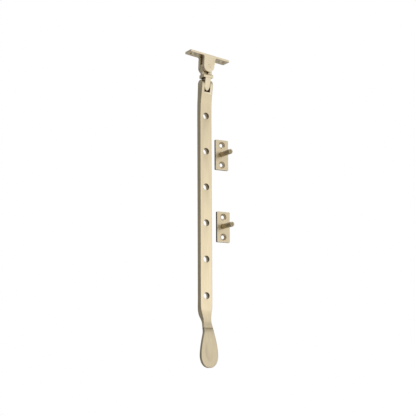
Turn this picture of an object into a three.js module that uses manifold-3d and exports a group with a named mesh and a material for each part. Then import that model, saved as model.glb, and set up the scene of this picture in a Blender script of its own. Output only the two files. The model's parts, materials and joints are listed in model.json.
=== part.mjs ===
// Casement window stay, hanging from its bracket, with its two peg plates beside it.
// Millimetres. +Z up, +X to the right, +Y away from the viewer.
// Origin: centre of the bracket's flat mounting face, which faces up.
import * as THREE from 'three';
import { mergeVertices } from 'three/addons/utils/BufferGeometryUtils.js';
import Module from 'manifold-3d';

const wasm = await Module();
wasm.setup();

// ---------- driving dimensions ----------
const BRACKET_TILT = THREE.MathUtils.degToRad(7);
const PLATE = { length: 47.6, width: 13, thick: 2, corner: 1.2 };
const EAR = { radius: 6.1, thick: 4, rootHalf: 6.8, filletHalf: 8 };
const BRACKET_PIN = { radius: 2, drop: 12.8 };
const SCREW = { radius: 2.1, sinkRadius: 3.8, sinkDepth: 1.7, offset: 17.5 };
const KNUCKLE = { radius: 5.8, half: 2.2 };
const BLOCK = { half: 5.8, front: -5.2, back: 4.7, top: -8.3, chamfer: 0.8, bottom: -11.8, edge: 0.5 };
const TONGUE = { halfX: 3.1, radius: 4.5, toeFront: 2.9, toeDrop: 3.3, taperRise: 2, taperPower: 1.35 };
const FORK_PIN = { radius: 1.6, y: 1.4, drop: 21.4 };
const SLOT = { half: 3.4, frontFloor: -7.1, backFloor: -2.8 };
const HEAD = { half: 6.6, front: -4.4, back: 5.2, top: 7.8 };
const BAR = { topHalf: 6.9, lowHalf: 7.05, front: -0.6, topBack: 6.5, lowBack: 6, fullWidthEnd: -231 };
const PEG_HOLE = { radius: 3.5, first: -31.2, pitch: 38.1, count: 6 };
const SPOON = { half: 10.1, widest: -283, tip: -296, fullness: 2.15 };
const GROOVE = { z: -255.6, width: 1.1, depth: 0.5 };
const PEG_PLATE = { width: 15.8, height: 33.2, thick: 2.6, corner: 0.8, front: 27.5, screw: 10.85 };
const PEG = { radius: 2.7, length: 18.8, chamfer: 0.7, spigot: 2, rise: 0.8 };
const UPPER_PLATE = { x: 33.5, z: -99 };
const LOWER_PLATE = { x: 34.9, z: -177.9 };
const RUNNING_CLEARANCE = 0.08;
const PRESS_GAP = 0.02;

// ---------- materials ----------
const brass = (name, colour, roughness) =>
  new THREE.MeshStandardMaterial({ name, color: colour, roughness, metalness: 1 });
const CAST_BRASS = brass('cast_satin_brass', 0xcdbd95, 0.36);
const PIN_BRASS = brass('turned_brass', 0xc2ae82, 0.3);

// ---------- solid helpers ----------
function solid(geometry) {
  const bare = geometry.clone();
  bare.deleteAttribute('normal');
  bare.deleteAttribute('uv');
  const merged = mergeVertices(bare, 1e-4);
  return new wasm.Manifold(new wasm.Mesh({
    numProp: 3,
    vertProperties: new Float32Array(merged.attributes.position.array),
    triVerts: new Uint32Array(merged.index.array),
  }));
}

function mesh(name, manifold, material) {
  const data = manifold.getMesh();
  const geometry = new THREE.BufferGeometry();
  geometry.setAttribute('position', new THREE.BufferAttribute(new Float32Array(data.vertProperties), 3));
  geometry.setIndex(new THREE.BufferAttribute(new Uint32Array(data.triVerts), 1));
  const flat = geometry.toNonIndexed();
  flat.computeVertexNormals();
  const out = new THREE.Mesh(flat, material);
  out.name = name;
  return out;
}

// Prism along Y from an outline drawn in X and Z.
function prismY(shape, y0, y1, curveSegments = 12) {
  const geometry = new THREE.ExtrudeGeometry(shape, { depth: y1 - y0, bevelEnabled: false, curveSegments });
  geometry.rotateX(Math.PI / 2);
  geometry.translate(0, y1, 0);
  return solid(geometry);
}

// Prism along X from an outline drawn in Y and Z.
function prismX(shape, x0, x1, curveSegments = 12) {
  const geometry = new THREE.ExtrudeGeometry(shape, { depth: x1 - x0, bevelEnabled: false, curveSegments });
  const turn = new THREE.Matrix4().makeBasis(
    new THREE.Vector3(0, 1, 0), new THREE.Vector3(0, 0, 1), new THREE.Vector3(1, 0, 0));
  geometry.applyMatrix4(turn);
  geometry.translate(x0, 0, 0);
  return solid(geometry);
}

// Prism along Z from an outline drawn in X and Y.
function prismZ(shape, z0, z1, curveSegments = 8) {
  const geometry = new THREE.ExtrudeGeometry(shape, { depth: z1 - z0, bevelEnabled: false, curveSegments });
  geometry.translate(0, 0, z0);
  return solid(geometry);
}

function rodY(radius, y0, y1, x = 0, z = 0, segments = 48) {
  const geometry = new THREE.CylinderGeometry(radius, radius, y1 - y0, segments);
  geometry.translate(x, (y0 + y1) / 2, z);
  return solid(geometry);
}

function rodX(radius, x0, x1, y = 0, z = 0, segments = 48) {
  const geometry = new THREE.CylinderGeometry(radius, radius, x1 - x0, segments);
  geometry.rotateZ(-Math.PI / 2);
  geometry.translate((x0 + x1) / 2, y, z);
  return solid(geometry);
}

function roundedRectangle(width, height, corner) {
  const w = width / 2;
  const h = height / 2;
  const shape = new THREE.Shape();
  shape.moveTo(-w + corner, -h);
  shape.lineTo(w - corner, -h);
  shape.absarc(w - corner, -h + corner, corner, -Math.PI / 2, 0, false);
  shape.lineTo(w, h - corner);
  shape.absarc(w - corner, h - corner, corner, 0, Math.PI / 2, false);
  shape.lineTo(-w + corner, h);
  shape.absarc(-w + corner, h - corner, corner, Math.PI / 2, Math.PI, false);
  shape.lineTo(-w, -h + corner);
  shape.absarc(-w + corner, -h + corner, corner, Math.PI, 1.5 * Math.PI, false);
  return shape;
}

// Countersunk screw hole along +Z, its wide mouth at z = 0 and its shank hole below.
function screwCutter(depth) {
  const profile = [
    [0, 0.5], [SCREW.sinkRadius + 0.5, 0.5], [SCREW.radius, -SCREW.sinkDepth],
    [SCREW.radius, -depth - 0.5], [0, -depth - 0.5],
  ].map(([r, z]) => new THREE.Vector2(r, z)).reverse();
  const geometry = new THREE.LatheGeometry(profile, 32);
  geometry.rotateX(Math.PI / 2);
  return geometry;
}

// ---------- bracket: plate and two ears, one casting ----------
function earOutline() {
  const reach = EAR.rootHalf;
  const shape = new THREE.Shape();
  shape.moveTo(-EAR.filletHalf, -PLATE.thick + 0.4);
  shape.lineTo(-EAR.filletHalf, -PLATE.thick);
  shape.quadraticCurveTo(-reach, -PLATE.thick, -reach, -PLATE.thick - 1.4);
  shape.lineTo(-EAR.radius, -BRACKET_PIN.drop);
  shape.absarc(0, -BRACKET_PIN.drop, EAR.radius, Math.PI, 2 * Math.PI, false);
  shape.lineTo(reach, -PLATE.thick - 1.4);
  shape.quadraticCurveTo(reach, -PLATE.thick, EAR.filletHalf, -PLATE.thick);
  shape.lineTo(EAR.filletHalf, -PLATE.thick + 0.4);
  return shape;
}

function buildBracket() {
  const half = PLATE.width / 2;
  let body = prismZ(roundedRectangle(PLATE.length, PLATE.width, PLATE.corner), -PLATE.thick, 0);
  for (const y0 of [-half, half - EAR.thick]) {
    body = body.add(prismY(earOutline(), y0, y0 + EAR.thick, 16));
  }
  body = body.subtract(rodY(BRACKET_PIN.radius + PRESS_GAP, -half - 1, half + 1, 0, -BRACKET_PIN.drop));
  for (const x of [-SCREW.offset, SCREW.offset]) {
    const cutter = screwCutter(PLATE.thick);
    cutter.rotateX(Math.PI);
    cutter.translate(x, 0, -PLATE.thick);
    body = body.subtract(solid(cutter));
  }
  return mesh('bracket', body, CAST_BRASS);
}

function buildBracketPin() {
  const end = PLATE.width / 2 - 0.05;
  return mesh('bracket_pin', rodY(BRACKET_PIN.radius, -end, end, 0, -BRACKET_PIN.drop), PIN_BRASS);
}

// ---------- swivel: knuckle, shoulder block and tongue, about the bracket pin's axis ----------
function blockOutline() {
  const shape = new THREE.Shape();
  shape.moveTo(BLOCK.front, BLOCK.bottom);
  shape.lineTo(BLOCK.back, BLOCK.bottom);
  shape.lineTo(BLOCK.back, BLOCK.top - BLOCK.chamfer);
  shape.lineTo(BLOCK.back - BLOCK.chamfer, BLOCK.top);
  shape.lineTo(BLOCK.front + BLOCK.chamfer, BLOCK.top);
  shape.lineTo(BLOCK.front, BLOCK.top - BLOCK.chamfer);
  return shape;
}

function buildSwivel() {
  const knuckle = new THREE.Shape();
  knuckle.moveTo(-KNUCKLE.radius, BLOCK.top - 1);
  knuckle.lineTo(KNUCKLE.radius, BLOCK.top - 1);
  knuckle.absarc(0, 0, KNUCKLE.radius, 0, Math.PI, false);
  let body = prismY(knuckle, -KNUCKLE.half, KNUCKLE.half, 20);
  const plan = roundedRectangle(2 * BLOCK.half, BLOCK.back - BLOCK.front, BLOCK.edge);
  const column = prismZ(plan, BLOCK.bottom - 1, BLOCK.top + 1).translate([0, (BLOCK.back + BLOCK.front) / 2, 0]);
  body = body.add(column.intersect(prismX(blockOutline(), -BLOCK.half - 1, BLOCK.half + 1)));

  const end = -FORK_PIN.drop;
  const side = new THREE.Shape();
  const reach = TONGUE.radius;
  side.moveTo(BLOCK.front + 0.5, BLOCK.bottom + 1);
  side.lineTo(BLOCK.front + 0.5, BLOCK.bottom);
  side.lineTo(FORK_PIN.y - TONGUE.toeFront, end - TONGUE.toeDrop);
  side.absarc(FORK_PIN.y, end, reach, 1.33 * Math.PI, 2 * Math.PI, false);
  side.lineTo(FORK_PIN.y + reach, BLOCK.bottom - 2);
  side.lineTo(BLOCK.back, BLOCK.bottom);
  side.lineTo(BLOCK.back, BLOCK.bottom + 1);
  // Seen from the front, the tongue narrows from just above the pin to a rounded toe.
  const shoulder = end + TONGUE.taperRise;
  const steps = 24;
  const front = new THREE.Shape();
  front.moveTo(-TONGUE.halfX, BLOCK.bottom + 2);
  for (let i = 0; i <= steps; i += 1) {
    const angle = (Math.PI * i) / steps;
    const across = Math.cos(angle);
    const width = TONGUE.halfX * Math.abs(across) ** TONGUE.taperPower;
    front.lineTo(-Math.sign(across) * width, shoulder - (TONGUE.taperRise + reach) * Math.sin(angle));
  }
  front.lineTo(TONGUE.halfX, BLOCK.bottom + 2);
  const tongue = prismX(side, -TONGUE.halfX - 1, TONGUE.halfX + 1, 20).intersect(prismY(front, -8, 9, 8));
  body = body.add(tongue);

  body = body.subtract(rodY(BRACKET_PIN.radius + RUNNING_CLEARANCE, -6, 6));
  body = body.subtract(rodX(FORK_PIN.radius + RUNNING_CLEARANCE, -6, 6, FORK_PIN.y, end));
  for (const y of [-KNUCKLE.half - 0.2, KNUCKLE.half - 0.8]) {
    const groove = new THREE.BoxGeometry(2.2, 1, 3);
    groove.translate(0, y + 0.5, BLOCK.top + 1.5);
    body = body.subtract(solid(groove));
  }
  return mesh('swivel', body, CAST_BRASS);
}

// ---------- stay bar, about the fork pin's axis ----------
// Half of the outline seen from the front, as distance from the centre line at each height.
const BAR_HALF_WIDTHS = [
  [HEAD.top, HEAD.half], [-6, HEAD.half], [-25, BAR.topHalf], [BAR.fullWidthEnd, BAR.lowHalf],
  [-234.5, 6.75], [-238.6, 6], [-242.8, 5.2], [-246, 4.8], [-249, 4.75], [-251.5, 5],
  [-255, 5.4], [-259.7, 6], [-264, 7.1], [-269, 8.25], [-274, 9.2], [-278.3, 9.8], [-281, 10.03],
];

// Front and back faces seen from the side, as Y at each height. The back has a heel where the neck starts.
const BAR_FRONT_FACE = [
  [3, HEAD.front], [1.5, HEAD.front], [-2, -3.9], [-6, -3.1], [-10, -2.3], [-14, -1.55],
  [-18, -1.05], [-24, -0.7], [-30, BAR.front], [-236, BAR.front], [-239.5, -0.95], [-242.8, -1.45],
  [-246, -2], [-249.1, -2.65], [-252.5, -3.8], [-255, -4.8], [-257.5, -5.5], [-260, -5.95],
  [-268, -6.4], [-281, -6.8], [SPOON.tip - 1, -6.9],
];
const BAR_BACK_FACE = [
  [SPOON.tip - 1, -3], [-281, -2.9], [-268, -2.5], [-261, -2.1], [-258, -1.4], [-255, -0.3],
  [-252, 0.8], [-249.1, 2], [-246.5, 3.7], [-244.3, 5.3], [-242.3, 6.6], [-240.3, 7.2], [-238, 7.3],
  [-235, 6.8], [BAR.fullWidthEnd, 6.2], [-226, BAR.lowBack], [-20, BAR.topBack], [-10, 6.1],
  [-4, 5.6], [1, 5.25], [3, HEAD.back],
];

// The spoon's round end, from its widest height to its tip.
function spoonEnd() {
  const points = [];
  const steps = 12;
  for (let i = 0; i < steps; i += 1) {
    const along = Math.sin((i / steps) * Math.PI / 2);
    const half = SPOON.half * (1 - along ** SPOON.fullness) ** (1 / SPOON.fullness);
    points.push([SPOON.widest + along * (SPOON.tip - SPOON.widest), half]);
  }
  return points;
}

function barOutline() {
  const side = [...BAR_HALF_WIDTHS, ...spoonEnd()];
  const shape = new THREE.Shape();
  shape.moveTo(0, HEAD.top + 1);
  shape.lineTo(-HEAD.half, HEAD.top + 1);
  for (const [z, half] of side) {
    shape.lineTo(-half, z);
  }
  shape.lineTo(0, SPOON.tip);
  for (const [z, half] of side.reverse()) {
    shape.lineTo(half, z);
  }
  shape.lineTo(HEAD.half, HEAD.top + 1);
  return shape;
}

function barProfile() {
  const round = (HEAD.back - HEAD.front) / 2;
  const shape = new THREE.Shape();
  shape.moveTo(BAR_FRONT_FACE[0][1], BAR_FRONT_FACE[0][0]);
  for (const [z, y] of [...BAR_FRONT_FACE.slice(1), ...BAR_BACK_FACE]) {
    shape.lineTo(y, z);
  }
  shape.absarc((HEAD.front + HEAD.back) / 2, HEAD.top - round, round, 0, Math.PI, false);
  return shape;
}

function buildStayBar() {
  let body = prismY(barOutline(), -12, 12).intersect(prismX(barProfile(), -15, 15, 24));

  const slot = new THREE.Shape();
  slot.moveTo(-8, 12);
  slot.lineTo(-8, SLOT.frontFloor);
  slot.lineTo(8, SLOT.backFloor);
  slot.lineTo(8, 12);
  body = body.subtract(prismX(slot, -SLOT.half, SLOT.half));
  body = body.subtract(rodX(FORK_PIN.radius + PRESS_GAP, -9, 9));

  for (let i = 0; i < PEG_HOLE.count; i += 1) {
    body = body.subtract(rodY(PEG_HOLE.radius, -4, 9, 0, PEG_HOLE.first - i * PEG_HOLE.pitch, 36));
  }

  const groove = new THREE.BoxGeometry(14, 2, GROOVE.width);
  groove.translate(0, -4.95 - 1 + GROOVE.depth, GROOVE.z);
  body = body.subtract(solid(groove));

  const dish = new THREE.SphereGeometry(1, 40, 24);
  dish.scale(9, 5, 17.5);
  dish.rotateX(THREE.MathUtils.degToRad(-1.5));
  dish.translate(0, -10.7, -278.5);
  body = body.subtract(solid(dish));
  return mesh('stay_bar', body, CAST_BRASS);
}

function buildForkPin() {
  const end = HEAD.half - 0.05;
  return mesh('fork_pin', rodX(FORK_PIN.radius, -end, end), PIN_BRASS);
}

// ---------- peg plates, each with its riveted peg ----------
function buildPegPlate(name) {
  const shape = roundedRectangle(PEG_PLATE.width, PEG_PLATE.height, PEG_PLATE.corner);
  let body = prismY(shape, 0, PEG_PLATE.thick, 6);
  body = body.subtract(rodY(PEG.spigot + PRESS_GAP, -1, PEG_PLATE.thick + 1, 0, PEG.rise, 36));
  for (const z of [-PEG_PLATE.screw, PEG_PLATE.screw]) {
    const cutter = screwCutter(PEG_PLATE.thick);
    cutter.rotateX(Math.PI / 2);
    cutter.translate(0, 0, z);
    body = body.subtract(solid(cutter));
  }
  return mesh(name, body, CAST_BRASS);
}

function buildPeg(name) {
  const tip = PEG.length;
  const profile = [
    [0, -PEG_PLATE.thick + 0.1], [PEG.spigot, -PEG_PLATE.thick + 0.1], [PEG.spigot, 0],
    [PEG.radius, 0], [PEG.radius, tip - PEG.chamfer], [PEG.radius - PEG.chamfer, tip], [0, tip],
  ].map(([r, h]) => new THREE.Vector2(r, h));
  const geometry = new THREE.LatheGeometry(profile, 36);
  geometry.rotateX(Math.PI);
  geometry.translate(0, 0, PEG.rise);
  return mesh(name, solid(geometry), PIN_BRASS);
}

// ---------- assembly ----------
const pivotX = -BRACKET_PIN.drop * Math.sin(BRACKET_TILT);
const pivotZ = -BRACKET_PIN.drop * Math.cos(BRACKET_TILT);

const bracketGroup = new THREE.Group();
bracketGroup.rotation.y = BRACKET_TILT;
bracketGroup.add(buildBracket(), buildBracketPin());

const swivelGroup = new THREE.Group();
swivelGroup.position.set(pivotX, 0, pivotZ);
swivelGroup.add(buildSwivel());

const barGroup = new THREE.Group();
barGroup.position.set(pivotX, FORK_PIN.y, pivotZ - FORK_PIN.drop);
barGroup.add(buildStayBar(), buildForkPin());

const upperGroup = new THREE.Group();
upperGroup.position.set(UPPER_PLATE.x, PEG_PLATE.front, UPPER_PLATE.z);
upperGroup.add(buildPegPlate('upper_peg_plate'), buildPeg('upper_peg'));

const lowerGroup = new THREE.Group();
lowerGroup.position.set(LOWER_PLATE.x, PEG_PLATE.front, LOWER_PLATE.z);
lowerGroup.add(buildPegPlate('lower_peg_plate'), buildPeg('lower_peg'));

const stay = new THREE.Group();
stay.add(bracketGroup, swivelGroup, barGroup, upperGroup, lowerGroup);
export default stay;
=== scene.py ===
"""Casement window stay: a hanging bar on a swivel under its bracket, and two loose peg plates."""
import json
from math import cos, pi, radians, sin, sqrt

import bmesh
import bpy
import numpy as np
from mathutils import Matrix, Vector


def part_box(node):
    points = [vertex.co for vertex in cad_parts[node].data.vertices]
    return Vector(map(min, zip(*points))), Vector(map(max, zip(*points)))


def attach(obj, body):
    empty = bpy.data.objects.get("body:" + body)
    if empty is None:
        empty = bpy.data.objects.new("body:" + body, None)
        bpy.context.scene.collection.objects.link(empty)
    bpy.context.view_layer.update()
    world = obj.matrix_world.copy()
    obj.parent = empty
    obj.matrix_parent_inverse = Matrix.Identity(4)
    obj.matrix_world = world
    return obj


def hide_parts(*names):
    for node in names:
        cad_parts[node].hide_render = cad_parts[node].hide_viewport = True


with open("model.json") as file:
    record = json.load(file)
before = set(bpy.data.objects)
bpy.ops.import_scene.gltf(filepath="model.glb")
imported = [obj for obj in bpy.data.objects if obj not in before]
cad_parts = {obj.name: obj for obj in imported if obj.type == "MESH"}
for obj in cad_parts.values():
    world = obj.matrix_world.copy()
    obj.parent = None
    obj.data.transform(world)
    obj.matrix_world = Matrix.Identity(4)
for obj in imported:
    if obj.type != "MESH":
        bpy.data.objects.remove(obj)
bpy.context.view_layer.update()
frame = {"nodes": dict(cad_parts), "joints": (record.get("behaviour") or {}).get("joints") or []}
MM = 0.001
JOINTS = {joint["name"]: Vector(joint["pos_m"]) for joint in frame["joints"]}
scene = bpy.context.scene


# ---------- camera, world, floor, lights ----------
def place(obj, position, target, roll=0.0):
    direction = Vector(target) - Vector(position)
    turn = direction.to_track_quat("-Z", "Y").to_matrix().to_4x4() @ Matrix.Rotation(roll, 4, "Z")
    obj.matrix_world = Matrix.Translation(position) @ turn


LEFT_OF_FRONT = radians(29.9)
BELOW = radians(9.64)
DISTANCE = 1.3
AIM = Vector((0.0, 0.0, -0.164))
away = Vector((-sin(LEFT_OF_FRONT) * cos(BELOW), -cos(LEFT_OF_FRONT) * cos(BELOW), -sin(BELOW)))
camera = bpy.data.objects.new("camera", bpy.data.cameras.new("camera"))
scene.collection.objects.link(camera)
camera.data.lens = 107.7
camera.data.sensor_width = 36
camera.data.clip_end = 50
place(camera, AIM + away * DISTANCE, AIM, radians(-0.23))
scene.camera = camera
scene.view_settings.view_transform = "Standard"


class Nodes:
    """A small helper that adds shader nodes and links them."""

    def __init__(self, tree):
        self.tree = tree
        tree.nodes.clear()

    def add(self, kind, inputs=None, **settings):
        node = self.tree.nodes.new(kind)
        for key, value in settings.items():
            setattr(node, key, value)
        for key, value in (inputs or {}).items():
            if isinstance(value, bpy.types.NodeSocket):
                self.tree.links.new(value, node.inputs[key])
            else:
                node.inputs[key].default_value = value
        return node

    def math(self, operation, a, b):
        return self.add("ShaderNodeMath", {0: a, 1: b}, operation=operation).outputs[0]

    def ramp(self, fac, stops):
        node = self.add("ShaderNodeValToRGB", {"Fac": fac})
        ramp = node.color_ramp
        while len(ramp.elements) < len(stops):
            ramp.elements.new(0.5)
        for element, (position, colour) in zip(ramp.elements, stops):
            element.position = position
            element.color = (*colour, 1) if isinstance(colour, tuple) else (colour, colour, colour, 1)
        return node.outputs["Color"]


FRONT_PATCH = (0.26, -0.955, 0.15)
REAR_RIM = (0.65, 0.7, 0.3)


def build_world():
    """White to the camera. To the brass: bright in front, dim overhead and behind, a rim at back right."""
    world = bpy.data.worlds.new("studio")
    scene.world = world
    world.use_nodes = True
    n = Nodes(world.node_tree)
    coords = n.add("ShaderNodeTexCoord").outputs["Generated"]
    height = n.add("ShaderNodeSeparateXYZ", {0: coords}).outputs[2]
    rise = n.add("ShaderNodeMapRange", {"Value": height, 1: -1.0, 2: 1.0}).outputs[0]
    toward = n.add("ShaderNodeVectorMath", {0: coords, 1: FRONT_PATCH},
                   operation="DOT_PRODUCT").outputs["Value"]
    patch = n.add("ShaderNodeMapRange", {"Value": toward, 1: 0.3, 2: 0.95, 3: 0.0, 4: 1.0},
                  interpolation_type="SMOOTHSTEP").outputs[0]
    front = n.ramp(rise, [(0.0, 0.45), (0.3, 0.7), (0.46, 0.96), (0.6, 0.95), (0.8, 0.33), (1.0, 0.3)])
    back = n.ramp(rise, [(0.0, 0.45), (0.15, 0.3), (0.3, 0.19), (0.42, 0.25), (0.52, 0.12), (0.7, 0.3),
                         (0.85, 0.4), (1.0, 0.35)])
    level = n.add("ShaderNodeMix", {0: patch, 6: back, 7: front}, data_type="RGBA").outputs[2]
    behind = n.add("ShaderNodeVectorMath", {0: coords, 1: REAR_RIM},
                   operation="DOT_PRODUCT").outputs["Value"]
    rim = n.add("ShaderNodeMapRange", {"Value": behind, 1: 0.6, 2: 0.98, 3: 0.0, 4: 0.55},
                interpolation_type="SMOOTHSTEP").outputs[0]
    level = n.math("MULTIPLY", n.math("ADD", level, rim), 1.3)
    path = n.add("ShaderNodeLightPath").outputs["Is Camera Ray"]
    strength = n.add("ShaderNodeMix", {0: path, 2: level, 3: 1.0}).outputs[0]
    sky = n.add("ShaderNodeBackground", {"Color": (1, 1, 1, 1), "Strength": strength})
    n.add("ShaderNodeOutputWorld", {"Surface": sky.outputs[0]})


def build_floor():
    mesh = bpy.data.meshes.new("floor")
    half, z = 8.0, -0.62
    corners = [(-half, -half, z), (half, -half, z), (half, half, z), (-half, half, z)]
    mesh.from_pydata(corners, [], [(0, 1, 2, 3)])
    floor = bpy.data.objects.new("floor", mesh)
    scene.collection.objects.link(floor)
    material = bpy.data.materials.new("floor_paint")
    material.use_nodes = True
    shader = material.node_tree.nodes["Principled BSDF"]
    shader.inputs["Base Color"].default_value = (0.86, 0.85, 0.83, 1)
    shader.inputs["Roughness"].default_value = 0.9
    mesh.materials.append(material)
    floor.visible_glossy = False


def add_overhead():
    data = bpy.data.lights.new("overhead", "SUN")
    data.energy = 0.9
    data.angle = radians(40)
    light = bpy.data.objects.new("overhead", data)
    scene.collection.objects.link(light)
    place(light, Vector((0.15, -0.1, 2)), Vector((0, 0, 0)))


build_world()
build_floor()
add_overhead()


# ---------- satin brass ----------
HOLLOW_SHADE = (0.11, 0.07, 0.025, 1)
RUBBED = (0.93, 0.84, 0.64, 1)


def brass(name, colour, dark, roughness, grain, bump, wear=0.0, painted_shading=None):
    """Satin brass: fine directional grain, clouded colour, painted brown shade in hollows, edges rubbed
    brighter.

    The optional gradient paints light and shade as a change of brightness along one axis: (axis number, where
    it starts, where it ends, ramp stops)."""
    material = bpy.data.materials.new(name)
    material.use_nodes = True
    n = Nodes(material.node_tree)
    coords = n.add("ShaderNodeTexCoord").outputs["Object"]
    stretched = n.add("ShaderNodeMapping", {"Vector": coords, "Scale": grain}).outputs[0]
    lines = n.add("ShaderNodeTexNoise", {"Vector": stretched, "Scale": 1.0, "Detail": 4.0,
                                         "Roughness": 0.6}).outputs["Fac"]
    cloud = n.add("ShaderNodeTexNoise", {"Vector": coords, "Scale": 55.0, "Detail": 5.0,
                                         "Roughness": 0.55}).outputs["Fac"]
    speck = n.add("ShaderNodeTexNoise", {"Vector": coords, "Scale": 900.0, "Detail": 2.0}).outputs["Fac"]
    clouded = n.ramp(cloud, [(0.3, 0.0), (0.7, 1.0)])
    tint = n.add("ShaderNodeMix", {0: clouded, 6: (*dark, 1), 7: (*colour, 1)}, data_type="RGBA").outputs[2]
    grain_and_painted_light = n.add("ShaderNodeMapRange", {"Value": lines, 1: 0.3, 2: 0.7, 3: 0.92, 4: 1.05}).outputs[0]
    # painted light and shade: the grain is multiplied by a brightness ramp along one axis
    if painted_shading:
        axis, start, end, stops = painted_shading
        along = n.add("ShaderNodeSeparateXYZ", {0: coords}).outputs[axis]
        position = n.add("ShaderNodeMapRange", {"Value": along, 1: start, 2: end}).outputs[0]
        grain_and_painted_light = n.math("MULTIPLY", grain_and_painted_light, n.ramp(position, stops))
    shade = n.add("ShaderNodeMix", {0: 1.0, 6: tint, 7: grain_and_painted_light}, data_type="RGBA",
                  blend_type="MULTIPLY").outputs[2]
    point = n.add("ShaderNodeNewGeometry").outputs["Pointiness"]
    edge = n.add("ShaderNodeMapRange", {"Value": point, 1: 0.52, 2: 0.6, 3: 0.0, 4: wear}).outputs[0]
    worn = n.add("ShaderNodeMix", {0: edge, 6: shade, 7: RUBBED}, data_type="RGBA").outputs[2]
    # painted shade: ambient occlusion darkens hollows and the gaps between parts to a dark brown
    occlusion = n.add("ShaderNodeAmbientOcclusion", {"Distance": 0.0045}, samples=8).outputs["AO"]
    unshaded = n.add("ShaderNodeMapRange", {"Value": occlusion, 1: 0.12, 2: 0.7, 3: 0.0, 4: 1.0},
                     interpolation_type="SMOOTHSTEP").outputs[0]
    final = n.add("ShaderNodeMix", {0: unshaded, 6: HOLLOW_SHADE, 7: worn}, data_type="RGBA").outputs[2]
    rough = n.add("ShaderNodeMapRange", {"Value": cloud, 1: 0.25, 2: 0.75, 3: roughness - 0.05,
                                         4: roughness + 0.07}).outputs[0]
    rough = n.math("ADD", rough, n.math("MULTIPLY", n.math("SUBTRACT", lines, 0.5), 0.12))
    height = n.math("ADD", n.math("MULTIPLY", lines, 0.7), n.math("MULTIPLY", speck, 0.3))
    relief = n.add("ShaderNodeBump", {"Height": height, "Strength": bump, "Distance": 0.00012}).outputs[0]
    shader = n.add("ShaderNodeBsdfPrincipled", {"Base Color": final, "Roughness": rough, "Metallic": 1.0,
                                                "Normal": relief})
    n.add("ShaderNodeOutputMaterial", {"Surface": shader.outputs[0]})
    return material


PIN_Z = JOINTS["fork_pivot"].z
PIN_Y = JOINTS["fork_pivot"].y
# painted light and shade along the bar: paler towards the neck, a painted highlight just above the groove,
# painted shade in the groove, and the handle below painted darker
BAR_PAINTED_LIGHT = (2, PIN_Z, PIN_Z - 0.2576, [(0.0, 0.9), (0.3, 0.98), (0.6, 1.07), (0.88, 1.12), (0.95, 1.05),
                                       (0.9885, 1.2), (0.991, 0.45), (0.9935, 0.45), (0.996, 0.8)])
# hole walls: painted shade at the front, painted light towards the back
HOLE_WALL_SHADING = (1, PIN_Y - 0.0006, PIN_Y + 0.0065, [(0.0, 0.33), (0.4, 0.36), (0.58, 1.1), (1.0, 1.3)])
CAST_TONES = ((0.80, 0.685, 0.475), (0.74, 0.63, 0.43))
CAST = brass("satin_cast_brass", *CAST_TONES, 0.36, (900, 900, 60), 0.08, 0.35)
BAR_CAST = brass("satin_bar_brass", *CAST_TONES, 0.36, (900, 900, 60), 0.2, 0.35, BAR_PAINTED_LIGHT)
ROLLED = brass("rolled_plate_brass", (0.71, 0.605, 0.42), (0.63, 0.535, 0.365), 0.38, (60, 900, 900),
               0.15, 0.3)
# painted shade: a dark brown brass for the peg plates' edges and hole walls
PLATE_EDGE_SHADE = brass("plate_edge_shaded_brass", (0.18, 0.145, 0.09), (0.13, 0.1, 0.06), 0.42, (60, 900, 900), 0.3, 0.1)
# painted shade for the bar's hole walls, lighter towards the back
HOLE_WALL_SHADE = brass("hole_wall_shaded_brass", *CAST_TONES, 0.4, (900, 60, 900), 0.15, 0.0, HOLE_WALL_SHADING)
TURNED = brass("turned_brass", (0.53, 0.435, 0.275), (0.42, 0.34, 0.2), 0.28, (900, 60, 900), 0.2, 0.3)


# ---------- mesh helpers ----------
def new_object(name, bm):
    mesh = bpy.data.meshes.new(name)
    bmesh.ops.recalc_face_normals(bm, faces=bm.faces)
    bm.to_mesh(mesh)
    bm.free()
    obj = bpy.data.objects.new(name, mesh)
    scene.collection.objects.link(obj)
    return obj


def bake(obj):
    """Applies obj's modifiers to its mesh."""
    depsgraph = bpy.context.evaluated_depsgraph_get()
    mesh = bpy.data.meshes.new_from_object(obj.evaluated_get(depsgraph))
    obj.modifiers.clear()
    old = obj.data
    obj.data = mesh
    bpy.data.meshes.remove(old)
    mesh.name = obj.name


def cut(obj, cutter):
    modifier = obj.modifiers.new("cut", "BOOLEAN")
    modifier.operation = "DIFFERENCE"
    modifier.solver = "EXACT"
    modifier.object = cutter
    bake(obj)
    bpy.data.objects.remove(cutter)


def tidy(obj, angle):
    """Joins faces that lie in one plane."""
    bm = bmesh.new()
    bm.from_mesh(obj.data)
    bmesh.ops.remove_doubles(bm, verts=bm.verts, dist=1e-6)
    bmesh.ops.dissolve_limit(bm, angle_limit=radians(angle), verts=bm.verts, edges=bm.edges)
    bm.to_mesh(obj.data)
    bm.free()


def soften(obj, width, segments, angle):
    """Rounds the sharp edges."""
    modifier = obj.modifiers.new("soften", "BEVEL")
    modifier.width = width
    modifier.segments = segments
    modifier.limit_method = "ANGLE"
    modifier.angle_limit = radians(angle)
    bake(obj)


def shade(obj, material, angle):
    obj.data.materials.clear()
    obj.data.materials.append(material)
    obj.data.shade_smooth()
    obj.data.set_sharp_from_angle(angle=radians(angle))


def prism(name, outline, low, high):
    """A straight solid along X: outline is (y, z)."""
    bm = bmesh.new()
    loops = []
    for level in (low, high):
        loops.append([bm.verts.new((level, y, z)) for y, z in outline])
    bm.faces.new(loops[0])
    bm.faces.new(loops[1])
    for i in range(len(outline)):
        j = (i + 1) % len(outline)
        bm.faces.new((loops[0][i], loops[0][j], loops[1][j], loops[1][i]))
    return new_object(name, bm)


TURNED_SEGMENTS = 48


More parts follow.
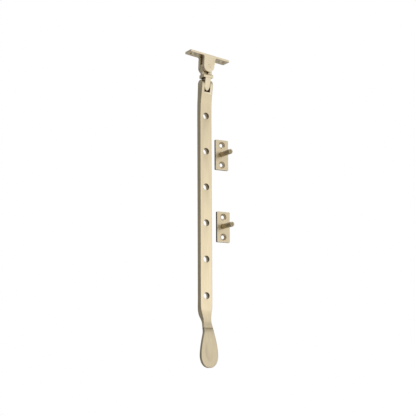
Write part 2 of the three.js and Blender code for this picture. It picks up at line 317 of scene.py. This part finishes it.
def turned(name, profile, axis, centre=(0, 0, 0)):
    """A turned solid: profile is (radius, height along the axis), from one end to the other."""
    bm = bmesh.new()
    rings = []
    for radius, height in profile:
        ring = []
        for i in range(TURNED_SEGMENTS):
            turn = 2 * pi * i / TURNED_SEGMENTS
            a, b = radius * cos(turn), radius * sin(turn)
            point = (a, height, b) if axis == "Y" else (height, a, b)
            ring.append(bm.verts.new(Vector(point) + Vector(centre)))
        rings.append(ring)
    bm.faces.new(rings[0])
    bm.faces.new(rings[-1])
    for low, high in zip(rings, rings[1:]):
        for i in range(TURNED_SEGMENTS):
            j = (i + 1) % TURNED_SEGMENTS
            bm.faces.new((low[i], low[j], high[j], high[i]))
    return new_object(name, bm)


def smooth_curve(points):
    """A smooth function through (position, value) points that never overshoots them."""
    x = np.array([p[0] for p in points], float)
    y = np.array([p[1] for p in points], float)
    order = np.argsort(x)
    x, y = x[order], y[order]
    h = np.diff(x)
    d = np.diff(y) / h
    m = np.zeros(len(x))
    for i in range(1, len(x) - 1):
        if d[i - 1] * d[i] > 0:
            w1, w2 = 2 * h[i] + h[i - 1], h[i] + 2 * h[i - 1]
            m[i] = (w1 + w2) / (w1 / d[i - 1] + w2 / d[i])

    def at(value):
        value = min(max(value, x[0]), x[-1])
        i = min(int(np.searchsorted(x, value, side="right")) - 1, len(h) - 1)
        t = (value - x[i]) / h[i]
        return float((2 * t**3 - 3 * t**2 + 1) * y[i] + (t**3 - 2 * t**2 + t) * h[i] * m[i]
                     + (3 * t**2 - 2 * t**3) * y[i + 1] + (t**3 - t**2) * h[i] * m[i + 1])
    return at


# ---------- the stay bar, in millimetres about the fork pin's axis ----------
HEAD_TOP, HEAD_ROUND, HEAD_MIDDLE = 7.8, 4.8, 0.4
BAR_FRONT = -0.6
SPOON_HALF, SPOON_WIDEST, SPOON_TIP, SPOON_FULLNESS = 10.1, -283.0, -296.0, 2.15
GROOVE_Z, GROOVE_HALF, GROOVE_DEPTH = -255.6, 0.6, 0.5
HALF_WIDTH = smooth_curve([
    (9, 6.6), (-6, 6.6), (-25, 6.9), (-231, 7.05), (-234.5, 6.75), (-238.6, 6), (-242.8, 5.2), (-246, 4.8),
    (-249, 4.75), (-251.5, 5), (-255, 5.4), (-259.7, 6), (-264, 7.1), (-269, 8.25), (-274, 9.2),
    (-278.3, 9.8), (-281, 10.03), (-283, 10.1)])
FRONT = smooth_curve([
    (9, -4.4), (1.5, -4.4), (-2, -3.9), (-6, -3.1), (-10, -2.3), (-14, -1.55), (-18, -1.05), (-24, -0.7),
    (-30, -0.6), (-236, -0.6), (-239.5, -0.95), (-242.8, -1.45), (-246, -2), (-249.1, -2.65), (-252.5, -3.8),
    (-255, -4.8), (-257.5, -5.5), (-260, -5.95), (-268, -6.4), (-281, -6.8), (-297, -6.9)])
BACK = smooth_curve([
    (9, 5.2), (3, 5.2), (1, 5.25), (-4, 5.6), (-10, 6.1), (-20, 6.5), (-226, 6), (-231, 6.2), (-235, 6.8),
    (-238, 7.3), (-240.3, 7.2), (-242.3, 6.6), (-244.3, 5.3), (-246.5, 3.7), (-249.1, 2), (-252, 0.8),
    (-255, -0.3), (-258, -1.4), (-261, -2.1), (-268, -2.5), (-281, -2.9), (-297, -3)])
EDGE = smooth_curve([(9, 0.4), (-4, 0.4), (-14, 0.7), (-235, 0.7), (-250, 0.8), (-262, 0.8), (-297, 0.8)])
HOLES, FIRST_HOLE_Z, HOLE_PITCH, HOLE_RADIUS = 6, -31.2, 38.1, 3.5
MOUTH_ROUND, CUTTER_OVERRUN, CUTTER_RADIUS = 0.2, 2, 3.95
SLOT_HALF, SLOT_FRONT_FLOOR, SLOT_BACK_FLOOR = 3.4, -7.1, -2.8
DISH = {"z": -278.5, "half_width": 5.4, "half_height": 11.5, "depth": 0.8}


def bar_stations():
    stops = [HEAD_TOP - HEAD_ROUND + HEAD_ROUND * sin(a) for a in np.linspace(pi / 2 * 0.995, 0, 16)]
    stops += list(np.arange(2.7, -16, -0.75))
    stops += list(np.arange(-20, -229, -12.7))
    stops += list(np.arange(-230.5, -254, -0.9))
    stops += list(np.arange(-254.2, -256.4, -0.15))
    stops += list(np.arange(-257, SPOON_WIDEST, -0.8))
    depth = SPOON_WIDEST - SPOON_TIP
    stops += [SPOON_WIDEST - depth * sin(a) for a in np.linspace(0, pi / 2 * 0.985, 22)]
    return stops


def bar_ring(z):
    """One rounded cross-section, counter-clockwise from the front's left end."""
    half = HALF_WIDTH(z)
    if z < SPOON_WIDEST:
        along = (SPOON_WIDEST - z) / (SPOON_WIDEST - SPOON_TIP)
        half = SPOON_HALF * max(0.0, 1 - along**SPOON_FULLNESS) ** (1 / SPOON_FULLNESS)
    front, back = FRONT(z), BACK(z)
    over = z - (HEAD_TOP - HEAD_ROUND)
    if over > 0:
        reach = sqrt(max(0.0, HEAD_ROUND**2 - over**2))
        front, back = HEAD_MIDDLE - reach, HEAD_MIDDLE + reach
    dip = abs(z - GROOVE_Z) / GROOVE_HALF
    if dip < 1:
        front += GROOVE_DEPTH * (1 - dip**2)
    radius = min(EDGE(z), half * 0.95, (back - front) * 0.48)
    above = ((z - DISH["z"]) / DISH["half_height"]) ** 2
    flat = half - radius
    count = 32
    points = []
    for i in range(count + 1):
        x = -flat + 2 * flat * i / count
        y = front
        inside = 1 - above - (x / DISH["half_width"]) ** 2
        if inside > 0:
            y += DISH["depth"] * inside**1.2
        points.append((x, y))
    corners = [(flat, front + radius, -pi / 2), (flat, back - radius, 0.0),
               (-flat, back - radius, pi / 2), (-flat, front + radius, pi)]
    for k, (cx, cy, start) in enumerate(corners):
        for step in range(1 if k == 0 else 0, 6 if k == 3 else 7):
            turn = start + pi / 12 * step
            points.append((cx + radius * cos(turn), cy + radius * sin(turn)))
        if k == 1:
            for i in range(1, 12):
                x = flat - 2 * flat * i / 12
                points.append((x, back))
    return points


def hole_height(i):
    return FIRST_HOLE_Z - HOLE_PITCH * i


def build_bar():
    bm = bmesh.new()
    rings = []
    for z in bar_stations():
        rings.append([bm.verts.new((x * MM, y * MM, z * MM)) for x, y in bar_ring(z)])
    for a, b in zip(rings, rings[1:]):
        for i in range(len(a)):
            j = (i + 1) % len(a)
            bm.faces.new((a[i], a[j], b[j], b[i]))
    bm.faces.new(rings[0])
    bm.faces.new(rings[-1])
    bar = new_object("bar_casting", bm)
    slot = [(-8, 12), (-8, SLOT_FRONT_FLOOR), (8, SLOT_BACK_FLOOR), (8, 12)]
    cut(bar, prism("slot", [(a * MM, b * MM) for a, b in slot], -SLOT_HALF * MM, SLOT_HALF * MM))
    tidy(bar, 0.15)
    soften(bar, 0.3 * MM, 3, 45)
    mouth = [(HOLE_RADIUS + MOUTH_ROUND * (1 - sin(a)), MOUTH_ROUND * (1 - cos(a)))
             for a in np.linspace(0, pi / 2, 5)]
    for i in range(HOLES):
        height = hole_height(i)
        back = BACK(height)
        profile = [(CUTTER_RADIUS, BAR_FRONT - CUTTER_OVERRUN)] + [(r, BAR_FRONT + h) for r, h in mouth]
        profile += [(r, back - h) for r, h in reversed(mouth)] + [(CUTTER_RADIUS, back + CUTTER_OVERRUN)]
        centre = Vector((0, 0, height)) * MM
        cut(bar, turned("hole", [(r * MM, h * MM) for r, h in profile], "Y", centre))
    cut(bar, turned("bore", [(1.62 * MM, -9 * MM), (1.62 * MM, 9 * MM)], "X"))
    bar.data.transform(Matrix.Translation(JOINTS["fork_pivot"]))
    shade(bar, BAR_CAST, 30)
    # the hole walls get the painted shade material, dark at the front and lighter towards the back
    bar.data.materials.append(HOLE_WALL_SHADE)
    for face in bar.data.polygons:
        along = face.center - JOINTS["fork_pivot"]
        nearest = min(abs(along.z - hole_height(i) * MM) for i in range(HOLES))
        if sqrt(along.x**2 + nearest**2) < 3.6 * MM and abs(face.normal.y) < 0.5:
            face.material_index = 1
    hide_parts("stay_bar")
    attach(bar, "stay_bar")


build_bar()


# ---------- the other pieces: the frame's solids with their own rounded edges ----------
SHARP_EDGE = radians(34)


def refine(node, body, width, bore=None):
    """A copy of the frame's solid with its edges rounded, except at a bore given as (point, axis, radius)."""
    source = frame["nodes"][node]
    bm = bmesh.new()
    bm.from_mesh(source.data)
    bm.transform(source.matrix_world)
    bmesh.ops.remove_doubles(bm, verts=bm.verts, dist=2e-6)
    bmesh.ops.dissolve_limit(bm, angle_limit=radians(0.5), verts=bm.verts, edges=bm.edges)

    def in_bore(vert):
        point, axis, radius = bore
        offset = vert.co - point
        return (offset - axis * offset.dot(axis)).length < radius

    sharp = [e for e in bm.edges if e.is_manifold and e.calc_face_angle() > SHARP_EDGE
             and not (bore and all(in_bore(v) for v in e.verts))]
    bmesh.ops.bevel(bm, geom=sharp, offset=width, offset_type="OFFSET", segments=3, profile=0.5,
                    affect="EDGES", clamp_overlap=True)
    obj = new_object(node + "_finished", bm)
    shade(obj, CAST, 40)
    normals = obj.modifiers.new("normals", "WEIGHTED_NORMAL")
    normals.keep_sharp = True
    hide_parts(node)
    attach(obj, body)
    return obj


ACROSS = Vector((0, 1, 0))
refine("bracket", "bracket", 0.45 * MM, (JOINTS["bracket_pivot"], ACROSS, 2.2 * MM))
refine("swivel", "swivel", 0.4 * MM, (JOINTS["bracket_pivot"], ACROSS, 2.3 * MM))
refine("bracket_pin", "bracket", 0.04 * MM)
refine("fork_pin", "stay_bar", 0.04 * MM)
for level in ("upper", "lower"):
    plate = refine(level + "_peg_plate", "bracket", 0.25 * MM)
    plate.data.materials[0] = ROLLED
    # the plate's edges and hole walls are painted dark as shade
    plate.data.materials.append(PLATE_EDGE_SHADE)
    low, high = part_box(level + "_peg_plate")
    for face in plate.data.polygons:
        x, _, z = face.center
        outside = min(x - low[0], high[0] - x, z - low[2], high[2] - z) < 0.5 * MM
        if abs(face.normal.y) < (0.8 if outside else 0.45):
            face.material_index = 1

# the pegs, turned, each with a lathe centre in its tip
PEG_PROFILE = [(1.98, 2.5), (1.98, 0), (2.45, 0), (2.65, -0.25), (2.7, -0.7), (2.7, -17.8), (2.6, -18.25),
               (2.3, -18.65), (1.95, -18.8), (1.6, -18.75), (1.2, -18.55), (0.6, -18.2), (0.2, -18.0)]
for level in ("upper", "lower"):
    low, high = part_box(level + "_peg")
    centre = Vector(((low[0] + high[0]) / 2, high[1] - 2.5 * MM, (low[2] + high[2]) / 2))
    peg = turned(level + "_peg_turned", [(r * MM, h * MM) for r, h in PEG_PROFILE], "Y", centre)
    shade(peg, TURNED, 50)
    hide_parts(level + "_peg")
    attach(peg, "bracket")
